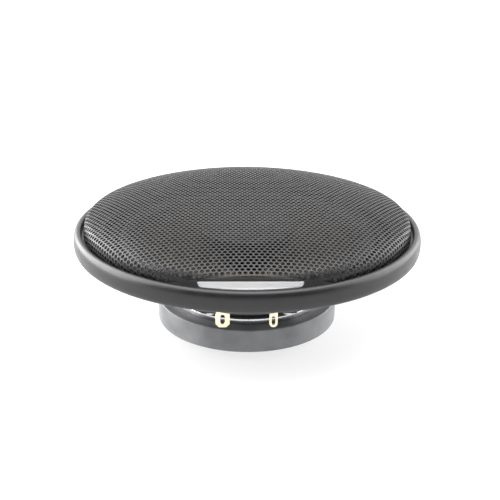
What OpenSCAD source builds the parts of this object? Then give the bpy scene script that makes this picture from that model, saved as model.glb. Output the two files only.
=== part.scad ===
// Coaxial car speaker: pressed basket, ring magnet motor, cone woofer and a post-mounted
// dome tweeter under a domed mesh grille that pushes onto the basket.  Millimetres, +Z is
// the listening side, the motor stands on z = 0, and -Y is the side with the terminals and
// the blank badge.

/* [Whole speaker] */
// Outer radius of the grille's trim ring
ring_r = 62; // [55:0.5:70]
// Height of the trim ring's widest line above the back of the motor
ring_mid_z = 34.7; // [30:0.2:40]

/* [Motor] */
// Radius of the back plate
yoke_r = 25; // [22:0.5:30]
// Thickness of the back plate
yoke_t = 3; // [2:0.5:5]
// Radius of the pole
pole_r = 12.2; // [12:0.05:12.3]
// Outer radius of the ring magnet
magnet_r = 32.6; // [28:0.1:36]
// Thickness of the ring magnet
magnet_t = 8.4; // [6:0.2:12]
// Radius of the magnet's hole
magnet_bore_r = 16; // [15:0.5:18]
// Outer radius of the front plate
plate_r = 28.2; // [26:0.1:30]
// Thickness of the front plate
plate_t = 2.2; // [2:0.1:3]
// Radius of the gap's outer wall
gap_r = 13.8; // [13.7:0.05:14.2]

/* [Basket] */
// Sheet thickness of the pressed basket
sheet_t = 1; // [0.8:0.1:1.5]
// Outer radius of the mounting flange
flange_r = 58; // [56:0.5:60]
// Height of the flange's back face, which seats on the door panel
flange_z = 31; // [29:0.5:33]
// Outer radius of the barrel, which drops into the panel's cut-out
barrel_r = 46.2; // [45:0.1:47]
// Radius of the circle through the mounting holes
mount_circle_r = 54; // [52:0.5:55]
// Radius of a mounting hole
mount_hole_r = 2.25; // [2:0.05:2.5]
// Number of mounting holes
mount_count = 4; // [3, 4, 6]
// Half the angle of one basket window, in degrees
window_half_angle = 26; // [20:1:30]

/* [Woofer] */
// Outer radius of the voice coil former
former_r = 12.8; // [12.7:0.05:12.9]
// Outer radius of the paper cone
cone_r = 41; // [39:0.5:42]
// Height of the cone's outer edge
cone_edge_z = 32; // [31:0.5:33]
// Radius of the surround's half roll
roll_r = 2.8; // [2:0.1:2.8]

/* [Tweeter] */
// Outer radius of the tweeter housing at its top
tweeter_r = 16.5; // [15:0.5:18]
// Height of the tweeter's front face
tweeter_top_z = 37.2; // [36:0.2:38]
// Radius of the tweeter's dome
dome_r = 7; // [6:0.5:8]

/* [Grille] */
// Height of the top of the mesh on the axis
mesh_top_z = 47.3; // [45:0.1:49]
// Radius where the dome turns into the steep edge
mesh_dome_r = 56; // [52:0.5:56]
// Fall of the dome from its top to that radius
mesh_dome_fall = 4.9; // [3:0.1:7]
// How late the dome starts to fall; higher is flatter in the middle
mesh_power = 4.2; // [2:0.1:6]
// Radius of the bend between the dome and the steep edge
mesh_bend_r = 3.2; // [3:0.1:5]
// Lean of the steep edge from upright, in degrees
mesh_lean = 6; // [5:1:20]
// Thickness of the mesh sheet
mesh_t = 0.7; // [0.6:0.1:1]
// Half width of the blank badge
badge_half_w = 16.75; // [12:0.25:18]

/* [Terminals] */
// Width of the positive blade
positive_w = 4.8; // [4.8, 6.3]
// Width of the negative blade
negative_w = 2.8; // [2.8, 4.8]
// Height of the blades' lower ends
blade_low_z = 14.7; // [12:0.1:15.5]

/* [Hidden] */
$fn = 0;
// smoothness of the round rods
rod_steps = 10;
rod_sides = 12;
// small overlap that makes touching shapes one solid
overlap = 0.02;
// reach of cutting shapes that must pass right through
beyond = 1;
big = 200;
// clearance between parts that slide past one another
fit = 0.3;

// heights that stack up from the back of the motor
magnet_z = yoke_t;
plate_z = magnet_z + magnet_t;
base_z = plate_z + plate_t;
base_top_z = base_z + sheet_t;
flange_top_z = flange_z + sheet_t;

// motor details
yoke_chamfer = 1.2;
pole_chamfer = 0.6;
magnet_chamfer = 0.5;
plate_low_chamfer = 0.3;
plate_chamfer = 0.2;

// bolt through the pole
bolt_r = 2;
bolt_head_r = 3.6;
bolt_head_h = 2.4;
bolt_head_chamfer = 0.5;
head_pocket_r = 4.2;
head_pocket_h = 2.8;
nut_r = 4.04;
nut_t = 3.2;
nut_pocket_gap = 0.06;
post_floor_t = 1.6;
nut_z = base_z + post_floor_t;

// basket profile
base_r = 26.5;
base_in_r = gap_r + 0.4;
ledge_in_r = 30;
ledge_out_r = 39.5;
ledge_z = 20.5;
ledge_top_z = ledge_z + sheet_t;
barrel_low_z = 26.2;
window_low_z = 22.4;
window_high_z = 28.5;
window_in_r = ledge_out_r + 0.9;
notch_half_w = 11;
notch_in_y = 33.2;
notch_out_y = 40.3;
basket_rivet_circle_r = 22.5;
basket_rivet_count = 4;
rivet_shank_r = 1.5;
rivet_head_r = 2.6;
rivet_head_h = 0.8;
rivet_depth = 1.2;

// spider and surround
spider_r = 34.5;
spider_t = 0.45;
spider_wave = 0.9;
spider_pitch = 4.2;
spider_wave_in_r = 14.2;
spider_wave_count = 4;
spider_step = 0.35;
surround_t = 0.5;
surround_lap = 1.6;
surround_rim_r = 49.8;
gasket_in_r = 47.2;
gasket_t = 1.6;

// woofer's moving parts
former_t = 0.2;
former_low_z = 7.5;
former_top_z = 24;
winding_r = 13.4;
winding_low_z = 9.3;
winding_h = 6.4;
cone_t = 0.7;
neck_z = 22.9;
neck_r = former_r;
collar_t = 0.8;
cone_slope = (cone_edge_z - cone_t - neck_z) / (cone_r - surround_lap - neck_r);
dust_in_r = 8.5;
dust_t = 1.2;
eyelet_y = 22;
eyelet_half_gap = 6.5;
eyelet_r = 0.8;
eyelet_head_r = 1.5;
eyelet_head_t = 0.4;

// tweeter
post_r = 8;
post_bore_r = 6.4;
post_top_z = 29;
housing_low_r = 12.5;
pot_r = 10;
pot_z = 30.4;
pot_t = 1.2;
pot_wall_in_r = 8.6;
pot_lip_r = 7.65;
pot_h = 5.2;
tweeter_magnet_r = 5.6;
tweeter_magnet_t = 2;
pole_piece_r = 6.35;
pole_piece_t = 1.9;
coil_in_r = 6.75;
coil_out_r = 7.2;
coil_h = 2.6;
dome_h = 2.5;
dome_t = 0.25;
dome_base_z = 36.1;
tweeter_roll_out_r = 9.3;
tweeter_rim_r = 10.6;
film_t = 0.2;
horn_r = 13.6;
bezel_t = 1.6;

// grille
ring_bulge = 2.1;
ring_half_h = 3.65;
ring_square = 2.6;
ring_low_z = ring_mid_z - ring_half_h + 0.3;
lip_r = 59.2;
lip_drop = 0.5;
skirt_in_r = flange_r + 0.5;
shelf_z = 36.4;
web_z = 34.8;
web_in_r = 51.5;
peg_r = 1.4;
peg_hole_r = peg_r + fit;
peg_foot_r = 2.2;
peg_count = 4;
peg_low_z = flange_z - 1.2;
badge_top_y = 50.9;
badge_arc_r = 57;
platform_z = shelf_z + 0.9;
badge_t = 0.8;
badge_sink = 0.5;
badge_corner = 2.4;
badge_small_corner = 0.7;
platform_back_y = 47.9;
platform_half_w = 17;
platform_side_w = 26.6;
platform_side_y = 50.9;
arch_r = 80;
arch_top_z = 42;
arch_y = 44;
retainer_r = 57.2;
retainer_w = 1.9;
retainer_h = 1.8;
retainer_gap_half_w = 30;

// terminals
board_t = 1;
board_half_w = 15.9;
board_out_y = 36;
board_in_r = 31.6;
board_z = ledge_z - board_t;
board_rivet_x = 13;
board_rivet_y = 33.9;
board_rivet_r = 1;
board_rivet_head_r = 1.6;
blade_t = 0.8;
blade_y = board_out_y + blade_t / 2;
positive_x = -8.9;
negative_x = 8.1;
blade_cut = 1.2;
lug_eye_r = 0.5;
lug_eye_drop = 1;
lug_w = 2.2;
lug_top_z = 23.6;
foot_l = 2.4;
rivet_tip_r = 0.6;
lead_r = 0.45;
wire_r = 0.35;
capacitor_r = 2.6;
capacitor_h = 8.5;
capacitor_z = 19.2;

// ---------- shared shapes ----------

module tube(r_out, r_in, h)
    difference() {
        cylinder(r = r_out, h = h);
        translate([0, 0, -1])
            cylinder(r = r_in, h = h + 2);
    }

// copies of the children around the axis
module around(count, start = 0)
    for (i = [0 : count - 1])
        rotate([0, 0, start + i * 360 / count])
            children();

// a round rod along the smooth curve that four control points draw
function curve(p, t) =
    pow(1 - t, 3) * p[0] + 3 * pow(1 - t, 2) * t * p[1]
    + 3 * (1 - t) * pow(t, 2) * p[2] + pow(t, 3) * p[3];
module rod(p, r)
    for (i = [0 : rod_steps - 1])
        hull()
            for (t = [i, i + 1])
                translate(curve(p, t / rod_steps))
                    sphere(r = r, $fn = rod_sides);

// heights of the mesh's outer face: a late-falling dome, a bend and a leaning edge
function dome_z(r) = mesh_top_z - mesh_dome_fall * pow(r / mesh_dome_r, mesh_power);
function dome_slope(r) =
    atan(mesh_dome_fall * mesh_power / mesh_dome_r * pow(r / mesh_dome_r, mesh_power - 1));
bend_start = 90 - dome_slope(mesh_dome_r);
bend_x = mesh_dome_r - mesh_bend_r * cos(bend_start);
bend_z = dome_z(mesh_dome_r) - mesh_bend_r * sin(bend_start);
mesh_foot_r = bend_x + mesh_bend_r * cos(mesh_lean)
    + (bend_z + mesh_bend_r * sin(mesh_lean) - shelf_z) * tan(mesh_lean);

// one face of the mesh, from the axis out and down; inset is the depth below the outer face
function mesh_line(inset) = concat(
    [for (i = [0 : 9]) let (r = i * mesh_dome_r / 10) [r, dome_z(r) - inset]],
    [for (i = [0 : 5])
        let (a = bend_start + (mesh_lean - bend_start) * i / 5, r = mesh_bend_r - inset)
        [bend_x + r * cos(a), bend_z + r * sin(a)]],
    [[mesh_foot_r - inset / cos(mesh_lean), shelf_z]]
);
function reversed(list) = [for (i = [len(list) - 1 : -1 : 0]) list[i]];

// rounded outside of the trim ring, from its lowest inner point up to its crest
function ring_point(a) = [
    ring_r - ring_bulge + ring_bulge * pow(abs(cos(a)), 2 / ring_square),
    ring_mid_z + ring_half_h * sign(sin(a)) * pow(abs(sin(a)), 2 / ring_square)
];

// the space of one basket window, looking along -Y
module window_sector()
    linear_extrude(height = window_high_z - window_low_z)
        difference() {
            polygon([
                [0, 0],
                [big * sin(window_half_angle), -big * cos(window_half_angle)],
                [-big * sin(window_half_angle), -big * cos(window_half_angle)]
            ]);
            circle(r = window_in_r);
        }

// ---------- motor ----------

module yoke()
    color([0.62, 0.62, 0.64])
        difference() {
            rotate_extrude()
                polygon([
                    [0, 0],
                    [yoke_r - yoke_chamfer, 0],
                    [yoke_r, yoke_chamfer],
                    [yoke_r, yoke_t],
                    [pole_r, yoke_t],
                    [pole_r, base_z - pole_chamfer],
                    [pole_r - pole_chamfer, base_z],
                    [0, base_z]
                ]);
            translate([0, 0, -1])
                cylinder(r = bolt_r, h = base_z + 2);
            translate([0, 0, -1])
                cylinder(r = head_pocket_r, h = head_pocket_h + 1);
        }

module magnet()
    color([0.33, 0.34, 0.36])
        translate([0, 0, magnet_z])
            rotate_extrude()
                polygon([
                    [magnet_bore_r, 0],
                    [magnet_r - magnet_chamfer, 0],
                    [magnet_r, magnet_chamfer],
                    [magnet_r, magnet_t - magnet_chamfer],
                    [magnet_r - magnet_chamfer, magnet_t],
                    [magnet_bore_r, magnet_t]
                ]);

module front_plate()
    color([0.75, 0.75, 0.76])
        difference() {
            translate([0, 0, plate_z])
                rotate_extrude()
                    polygon([
                        [gap_r, 0],
                        [plate_r - plate_low_chamfer, 0],
                        [plate_r, plate_low_chamfer],
                        [plate_r, plate_t - plate_chamfer],
                        [plate_r - plate_chamfer, plate_t],
                        [gap_r, plate_t]
                    ]);
            around(basket_rivet_count, 45)
                translate([basket_rivet_circle_r, 0, base_z - rivet_depth])
                    cylinder(r = rivet_shank_r, h = rivet_depth + 1);
        }

// ---------- basket ----------

module basket_shell()
    rotate_extrude()
        polygon([
            [base_in_r, base_z],
            [base_r, base_z],
            [ledge_in_r, ledge_z],
            [ledge_out_r + 0.3, ledge_z],
            [barrel_r, barrel_low_z - 0.4],
            [barrel_r, flange_z],
            [flange_r, flange_z],
            [flange_r, flange_top_z],
            [barrel_r - sheet_t, flange_top_z],
            [barrel_r - sheet_t, barrel_low_z],
            [ledge_out_r, ledge_top_z],
            [ledge_in_r - 0.8, ledge_top_z],
            [base_r - 0.6, base_top_z],
            [base_in_r, base_top_z]
        ]);

module basket()
    color([0.09, 0.09, 0.1])
        difference() {
            basket_shell();
            around(4)
                translate([0, 0, window_low_z])
                    window_sector();
            around(mount_count, 45)
                translate([mount_circle_r, 0, flange_z - 1])
                    cylinder(r = mount_hole_r, h = sheet_t + 2);
            around(peg_count, 22.5)
                translate([mount_circle_r, 0, flange_z - 1])
                    cylinder(r = peg_hole_r, h = sheet_t + 2);
            around(basket_rivet_count, 45)
                translate([basket_rivet_circle_r, 0, base_z - 1])
                    cylinder(r = rivet_shank_r, h = sheet_t + 2);
            for (x = [-board_rivet_x, board_rivet_x])
                translate([x, -board_rivet_y, ledge_z - 1])
                    cylinder(r = board_rivet_r, h = sheet_t + 2);
            translate([-notch_half_w, -notch_out_y, ledge_z - 1])
                cube([2 * notch_half_w, notch_out_y - notch_in_y, sheet_t + 2]);
        }

module basket_rivets()
    color([0.7, 0.7, 0.7])
        around(basket_rivet_count, 45)
            translate([basket_rivet_circle_r, 0, 0]) {
                translate([0, 0, base_z - rivet_depth])
                    cylinder(r = rivet_shank_r, h = rivet_depth + sheet_t + overlap);
                translate([0, 0, base_top_z])
                    cylinder(r1 = rivet_head_r, r2 = rivet_head_r - 0.6, h = rivet_head_h);
            }

module surround_gasket()
    color([0.12, 0.12, 0.12])
        translate([0, 0, flange_top_z + surround_t])
            tube(surround_rim_r, gasket_in_r, gasket_t);

// ---------- suspension ----------

// corrugation that starts with a dip at the coil and ends with a rise at the ledge
function spider_z(r) =
    r < spider_wave_in_r ? 0
    : r > spider_wave_in_r + spider_wave_count * spider_pitch ? 0
    : -spider_wave * sin(360 * (r - spider_wave_in_r) / spider_pitch);
spider_radii = [for (r = [former_r : spider_step : spider_r]) r];

module spider()
    color([0.62, 0.45, 0.2])
        translate([0, 0, ledge_top_z])
            rotate_extrude()
                polygon(concat(
                    [for (r = spider_radii) [r, spider_z(r)]],
                    [[spider_r, 0], [spider_r, spider_t]],
                    [for (r = reversed(spider_radii)) [r, spider_z(r) + spider_t]]
                ));

module surround() {
    mid_r = cone_r + roll_r;
    color([0.07, 0.07, 0.07])
        translate([0, 0, cone_edge_z])
            rotate_extrude() {
                translate([cone_r - surround_lap, 0])
                    square([surround_lap + overlap, surround_t]);
                translate([mid_r + roll_r - overlap, 0])
                    square([surround_rim_r - mid_r - roll_r + overlap, surround_t]);
                intersection() {
                    translate([mid_r, 0])
                        difference() {
                            circle(r = roll_r + surround_t / 2);
                            circle(r = roll_r - surround_t / 2);
                        }
                    square([big, big]);
                }
            }
}

// ---------- terminals ----------

module terminal_board()
    color([0.08, 0.07, 0.06])
        difference() {
            translate([-board_half_w, -board_out_y, board_z])
                cube([2 * board_half_w, board_out_y - 25, board_t]);
            translate([0, 0, board_z - 1])
                cylinder(r = board_in_r, h = board_t + 2);
            for (x = [-board_rivet_x, board_rivet_x])
                translate([x, -board_rivet_y, board_z - 1])
                    cylinder(r = board_rivet_r, h = board_t + 2);
            for (x = [positive_x, negative_x])
                translate([x, -board_out_y + foot_l / 2, board_z - 1])
                    cylinder(r = rivet_tip_r, h = board_t + 2);
        }

module board_rivets()
    color([0.75, 0.75, 0.75])
        for (x = [-board_rivet_x, board_rivet_x])
            translate([x, -board_rivet_y, 0])
                rotate_extrude()
                    polygon([
                        [0, board_z - rivet_head_h],
                        [board_rivet_head_r, board_z - rivet_head_h],
                        [board_rivet_head_r, board_z],
                        [board_rivet_r, board_z],
                        [board_rivet_r, ledge_top_z],
                        [board_rivet_head_r, ledge_top_z],
                        [board_rivet_head_r - 0.5, ledge_top_z + rivet_head_h],
                        [0, ledge_top_z + rivet_head_h]
                    ]);

// upright blade with a slot; the end outline is drawn as seen from -Y, centred on x = 0
module blade(end_points, slot_low, slot_high, slot_r) {
    translate([0, -blade_y + blade_t / 2, 0])
        rotate([90, 0, 0])
            linear_extrude(height = blade_t)
                difference() {
                    union() {
                        polygon(end_points);
                        translate([-lug_w / 2, ledge_z - overlap])
                            square([lug_w, lug_top_z - ledge_z + overlap]);
                    }
                    translate([-slot_r, slot_low])
                        square([2 * slot_r, slot_high - slot_low]);
                    for (z = [slot_low, slot_high])
                        translate([0, z])
                            circle(r = slot_r);
                    translate([0, lug_top_z - lug_eye_drop])
                        circle(r = lug_eye_r);
                }
    // foot that lies on the board and the rivet that holds it there
    translate([-lug_w / 2, -board_out_y - overlap, ledge_z])
        cube([lug_w, foot_l + overlap, blade_t]);
    translate([0, -board_out_y + foot_l / 2, board_z - 0.3])
        cylinder(r = rivet_tip_r, h = board_t + 0.6);
}

module positive_tab() {
    half = positive_w / 2;
    color([0.86, 0.72, 0.38])
        translate([positive_x, 0, 0])
            blade(
                [
                    [-half, ledge_z],
                    [-half, blade_low_z + blade_cut],
                    [-half + blade_cut, blade_low_z],
                    [half - blade_cut, blade_low_z],
                    [half, blade_low_z + blade_cut],
                    [half, ledge_z]
                ],
                blade_low_z + 2.05, blade_low_z + 3.85, 0.75
            );
}

module negative_tab() {
    half = negative_w / 2;
    color([0.86, 0.72, 0.38])
        translate([negative_x, 0, 0])
            blade(
                concat(
                    [[-half, ledge_z]],
                    [for (i = [0 : 12])
                        let (a = 180 + i * 15)
                        [half * cos(a), blade_low_z + half + half * sin(a)]],
                    [[half, ledge_z]]
                ),
                blade_low_z + 1.6, blade_low_z + 3.4, 0.6
            );
}

// braided lead from a solder lug, over the spider, to an eyelet under the cone
module lead(lug_x, side)
    color([0.78, 0.52, 0.32])
        rod([
            [lug_x, -blade_y + blade_t / 2 + lead_r, lug_top_z - 0.6],
            [side * 8.6, -31.5, 27],
            [side * 7.5, -27.5, 23.2],
            [side * eyelet_half_gap, -eyelet_y - 1.2, 24.75]
        ], lead_r);

module positive_lead()
    lead(positive_x, -1);

module negative_lead()
    lead(negative_x, 1);

// ---------- woofer's moving parts ----------

function cone_z(r) = neck_z + (r - neck_r) * cone_slope;

module cone() {
    flat_in_r = cone_r - surround_lap;
    color([0.24, 0.2, 0.17])
        difference() {
            rotate_extrude()
                polygon([
                    [neck_r, neck_z - collar_t],
                    [neck_r + collar_t, neck_z - collar_t],
                    [neck_r + collar_t, cone_z(neck_r + collar_t)],
                    [flat_in_r, cone_edge_z - cone_t],
                    [cone_r, cone_edge_z - cone_t],
                    [cone_r, cone_edge_z],
                    [flat_in_r, cone_edge_z],
                    [neck_r, neck_z + cone_t]
                ]);
            for (x = [-eyelet_half_gap, eyelet_half_gap])
                translate([x, -eyelet_y, neck_z])
                    cylinder(r = eyelet_r, h = 8);
        }
}

module voice_coil_former()
    color([0.75, 0.72, 0.62])
        translate([0, 0, former_low_z])
            tube(former_r, former_r - former_t, former_top_z - former_low_z);

module voice_coil_winding()
    color([0.72, 0.4, 0.2])
        translate([0, 0, winding_low_z])
            tube(winding_r, former_r, winding_h);

module dust_ring()
    color([0.1, 0.1, 0.1])
        translate([0, 0, former_top_z - dust_t])
            tube(former_r - former_t, dust_in_r, dust_t);

module lead_eyelets() {
    centre_r = norm([eyelet_half_gap, eyelet_y]);
    low = cone_z(centre_r - eyelet_head_r) - eyelet_head_t;
    high = cone_z(centre_r + eyelet_head_r) + cone_t;
    color([0.8, 0.66, 0.36])
        for (x = [-eyelet_half_gap, eyelet_half_gap])
            translate([x, -eyelet_y, 0])
                rotate_extrude()
                    polygon([
                        [0, low],
                        [eyelet_head_r, low],
                        [eyelet_head_r, low + eyelet_head_t],
                        [eyelet_r, low + eyelet_head_t],
                        [eyelet_r, high],
                        [eyelet_head_r, high],
                        [eyelet_head_r, high + eyelet_head_t],
                        [0, high + eyelet_head_t]
                    ]);
}

// ---------- tweeter ----------

module tweeter_post()
    color([0.08, 0.08, 0.09])
        difference() {
            translate([0, 0, base_z])
                cylinder(r = post_r, h = post_top_z - base_z);
            translate([0, 0, nut_z + nut_t])
                cylinder(r = post_bore_r, h = post_top_z);
            translate([0, 0, nut_z])
                cylinder(r = nut_r + nut_pocket_gap, h = nut_t + beyond, $fn = 6);
            translate([0, 0, base_z - 1])
                cylinder(r = bolt_r, h = 4);
            for (x = [-3, 3])
                translate([x, 0, post_top_z - 2])
                    rotate([90, 0, 0])
                        cylinder(r = wire_r + 0.1, h = post_r + 1);
        }

module tweeter_bolt()
    color([0.7, 0.7, 0.7])
        rotate_extrude()
            polygon([
                [0, head_pocket_h - bolt_head_h],
                [bolt_head_r - bolt_head_chamfer, head_pocket_h - bolt_head_h],
                [bolt_head_r, head_pocket_h - bolt_head_h + bolt_head_chamfer],
                [bolt_head_r, head_pocket_h],
                [bolt_r, head_pocket_h],
                [bolt_r, nut_z + nut_t],
                [0, nut_z + nut_t]
            ]);

module tweeter_nut()
    color([0.7, 0.7, 0.7])
        translate([0, 0, nut_z])
            difference() {
                cylinder(r = nut_r, h = nut_t, $fn = 6);
                translate([0, 0, -1])
                    cylinder(r = bolt_r, h = nut_t + 2);
            }

module crossover_capacitor()
    color([0.1, 0.16, 0.35])
        translate([0, 0, capacitor_z])
            rotate_extrude()
                polygon([
                    [0, 0],
                    [capacitor_r - 0.4, 0],
                    [capacitor_r, 0.4],
                    [capacitor_r, capacitor_h - 0.4],
                    [capacitor_r - 0.4, capacitor_h],
                    [0, capacitor_h]
                ]);

// two thin wires from the post, over the neck of the cone, to the eyelets
module tweeter_leads()
    color([0.75, 0.12, 0.1])
        for (side = [-1, 1])
            rod([
                [side * 3, -post_bore_r - 0.2, post_top_z - 2],
                [side * 3.6, -12.5, post_top_z - 2],
                [side * 5.6, -19, post_top_z + 1],
                [side * eyelet_half_gap, -eyelet_y + 0.3, post_top_z - 0.95]
            ], wire_r);

module tweeter_housing() {
    shoulder_z = tweeter_top_z - bezel_t;
    color([0.07, 0.07, 0.08])
        difference() {
            translate([0, 0, post_top_z])
                rotate_extrude()
                    polygon([
                        [0, 0],
                        [housing_low_r, 0],
                        [tweeter_r - 0.6, shoulder_z - post_top_z - 1.4],
                        [tweeter_r, shoulder_z - post_top_z],
                        [0, shoulder_z - post_top_z]
                    ]);
            translate([0, 0, pot_z])
                cylinder(r = pot_r + 0.8, h = 20);
            translate([0, 0, post_top_z - 1])
                cylinder(r = 2, h = 20);
        }
}

module tweeter_pot()
    color([0.7, 0.7, 0.72])
        translate([0, 0, pot_z])
            difference() {
                cylinder(r = pot_r, h = pot_h);
                translate([0, 0, pot_t])
                    cylinder(r = pot_wall_in_r, h = pot_h - pot_t - 1);
                translate([0, 0, pot_t])
                    cylinder(r = pot_lip_r, h = pot_h);
            }

module tweeter_magnet()
    color([0.6, 0.6, 0.62])
        translate([0, 0, pot_z + pot_t])
            cylinder(r = tweeter_magnet_r, h = tweeter_magnet_t);

module tweeter_pole_piece()
    color([0.65, 0.65, 0.66])
        translate([0, 0, pot_z + pot_t + tweeter_magnet_t])
            cylinder(r = pole_piece_r, h = pole_piece_t);

module tweeter_bezel()
    color([0.06, 0.06, 0.07])
        translate([0, 0, tweeter_top_z - bezel_t])
            rotate_extrude()
                polygon([
                    [tweeter_roll_out_r + 0.2, 0.55],
                    [tweeter_rim_r + 0.2, 0.55],
                    [tweeter_rim_r + 0.2, 0],
                    [tweeter_r, 0],
                    [tweeter_r, bezel_t - 0.5],
                    [tweeter_r - 0.5, bezel_t],
                    [horn_r, bezel_t],
                    [tweeter_roll_out_r + 0.2, 0.95]
                ]);

// spherical cap of base radius dome_r and height dome_h, with its skirt bonded to the coil
module tweeter_dome() {
    ball_r = (dome_r * dome_r + dome_h * dome_h) / (2 * dome_h);
    color([0.14, 0.14, 0.15])
        translate([0, 0, dome_base_z])
            difference() {
                translate([0, 0, dome_h - ball_r])
                    sphere(r = ball_r);
                translate([0, 0, dome_h - ball_r])
                    sphere(r = ball_r - dome_t);
                translate([-big / 2, -big / 2, -big])
                    cube([big, big, big]);
            }
}

module tweeter_coil()
    color([0.72, 0.4, 0.2])
        translate([0, 0, dome_base_z - coil_h])
            tube(coil_out_r, coil_in_r, coil_h);

module tweeter_suspension() {
    mid_r = (coil_out_r + tweeter_roll_out_r) / 2;
    half = (tweeter_roll_out_r - coil_out_r) / 2;
    color([0.15, 0.15, 0.16])
        translate([0, 0, dome_base_z - 0.15])
            rotate_extrude() {
                intersection() {
                    translate([mid_r, 0])
                        difference() {
                            circle(r = half);
                            circle(r = half - film_t);
                        }
                    square([big, big]);
                }
                translate([tweeter_roll_out_r - overlap, 0])
                    square([tweeter_rim_r - tweeter_roll_out_r + overlap, film_t]);
            }
}

// ---------- grille ----------

// half of the badge's outline: small back corner, upright end, then a corner that runs
// into the front arc, which follows the ring
badge_corner_x = badge_half_w - badge_corner - 0.4;
badge_corner_y = -sqrt(pow(badge_arc_r - badge_corner, 2) - pow(badge_corner_x, 2));
badge_turn = atan2(badge_corner_y, badge_corner_x);
badge_half = concat(
    [for (a = [90 : -15 : 0]) [
        badge_half_w - badge_small_corner + badge_small_corner * cos(a),
        -badge_top_y - badge_small_corner + badge_small_corner * sin(a)
    ]],
    [for (i = [0 : 8]) let (a = badge_turn * i / 8) [
        badge_corner_x + badge_corner * cos(a),
        badge_corner_y + badge_corner * sin(a)
    ]],
    [for (i = [1 : 8]) let (a = badge_turn + (-90 - badge_turn) * i / 8)
        [badge_arc_r * cos(a), badge_arc_r * sin(a)]]
);

module badge_outline()
    polygon(concat(badge_half, [for (p = reversed(badge_half)) [-p.x, p.y]]));

module grille_ring()
    color([0.2, 0.2, 0.21]) {
        difference() {
            union() {
                rotate_extrude()
                    polygon(concat(
                        [[skirt_in_r, ring_low_z]],
                        [for (a = [-66 : 6 : 90]) ring_point(a)],
                        [
                            [lip_r, ring_mid_z + ring_half_h - lip_drop],
                            [lip_r, shelf_z],
                            [web_in_r, shelf_z],
                            [web_in_r, web_z],
                            [skirt_in_r, web_z]
                        ]
                    ));
                // badge platform across the front, a little below the crest of the ring
                translate([0, 0, web_z])
                    linear_extrude(height = platform_z - web_z)
                        intersection() {
                            circle(r = lip_r + overlap);
                            polygon([
                                [-platform_half_w, -platform_back_y],
                                [-platform_side_w, -platform_side_y],
                                [-platform_side_w, -big],
                                [platform_side_w, -big],
                                [platform_side_w, -platform_side_y],
                                [platform_half_w, -platform_back_y]
                            ]);
                        }
            }
            translate([0, 0, platform_z - badge_sink])
                linear_extrude(height = badge_sink + 1)
                    badge_outline();
        }
        around(peg_count, 22.5)
            translate([mount_circle_r, 0, 0])
                rotate_extrude()
                    polygon([
                        [0, peg_low_z],
                        [peg_r - 0.5, peg_low_z],
                        [peg_r, peg_low_z + 0.6],
                        [peg_r, flange_top_z + fit],
                        [peg_foot_r, flange_top_z + fit],
                        [peg_foot_r, web_z + overlap],
                        [0, web_z + overlap]
                    ]);
    }

module mesh_arch()
    translate([0, -arch_y, arch_top_z - arch_r])
        rotate([90, 0, 0])
            cylinder(r = arch_r, h = big);

module grille_mesh()
    color([0.28, 0.28, 0.28])
        difference() {
            rotate_extrude()
                polygon(concat(mesh_line(0), reversed(mesh_line(mesh_t))));
            mesh_arch();
        }

module mesh_retainer()
    color([0.08, 0.08, 0.08])
        difference() {
            translate([0, 0, shelf_z])
                tube(retainer_r, retainer_r - retainer_w, retainer_h);
            translate([-retainer_gap_half_w, -big, 0])
                cube([2 * retainer_gap_half_w, big, big]);
        }

module grille_badge()
    color([0.85, 0.85, 0.87])
        translate([0, 0, platform_z - badge_sink])
            linear_extrude(height = badge_t)
                badge_outline();

yoke();
magnet();
front_plate();
basket();
basket_rivets();
surround_gasket();
spider();
surround();
terminal_board();
board_rivets();
positive_tab();
negative_tab();
positive_lead();
negative_lead();
cone();
voice_coil_former();
voice_coil_winding();
dust_ring();
lead_eyelets();
tweeter_post();
tweeter_bolt();
tweeter_nut();
crossover_capacitor();
tweeter_leads();
tweeter_housing();
tweeter_pot();
tweeter_magnet();
tweeter_pole_piece();
tweeter_bezel();
tweeter_dome();
tweeter_coil();
tweeter_suspension();
grille_ring();
grille_mesh();
mesh_retainer();
grille_badge();
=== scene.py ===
import math
import bmesh
import bpy
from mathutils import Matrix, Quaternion, Vector
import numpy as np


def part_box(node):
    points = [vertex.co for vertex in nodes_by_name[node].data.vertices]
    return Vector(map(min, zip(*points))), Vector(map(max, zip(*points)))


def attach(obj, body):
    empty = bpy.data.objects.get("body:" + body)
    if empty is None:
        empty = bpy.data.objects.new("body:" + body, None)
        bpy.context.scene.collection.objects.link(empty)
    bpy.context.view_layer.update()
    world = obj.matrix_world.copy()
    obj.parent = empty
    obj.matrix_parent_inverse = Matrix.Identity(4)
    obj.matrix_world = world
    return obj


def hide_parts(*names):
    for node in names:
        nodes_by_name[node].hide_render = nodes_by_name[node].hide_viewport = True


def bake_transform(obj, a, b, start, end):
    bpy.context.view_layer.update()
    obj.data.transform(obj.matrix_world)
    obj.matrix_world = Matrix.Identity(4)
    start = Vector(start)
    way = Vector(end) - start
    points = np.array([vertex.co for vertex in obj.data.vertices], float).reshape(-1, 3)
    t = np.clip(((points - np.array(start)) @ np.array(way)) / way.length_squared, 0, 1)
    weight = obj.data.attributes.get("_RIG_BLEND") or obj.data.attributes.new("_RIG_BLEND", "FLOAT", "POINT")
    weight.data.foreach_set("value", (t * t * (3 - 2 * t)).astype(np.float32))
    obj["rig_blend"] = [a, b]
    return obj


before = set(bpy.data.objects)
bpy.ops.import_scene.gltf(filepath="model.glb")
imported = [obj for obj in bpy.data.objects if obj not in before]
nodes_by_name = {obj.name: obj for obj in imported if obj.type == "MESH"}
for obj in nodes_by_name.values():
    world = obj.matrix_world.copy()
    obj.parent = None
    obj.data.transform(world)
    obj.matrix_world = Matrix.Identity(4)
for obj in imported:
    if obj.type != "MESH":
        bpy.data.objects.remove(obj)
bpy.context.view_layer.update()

MM = 0.001
MERGE_M = 1e-7
CREASE_ANGLE = math.radians(50)


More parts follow.
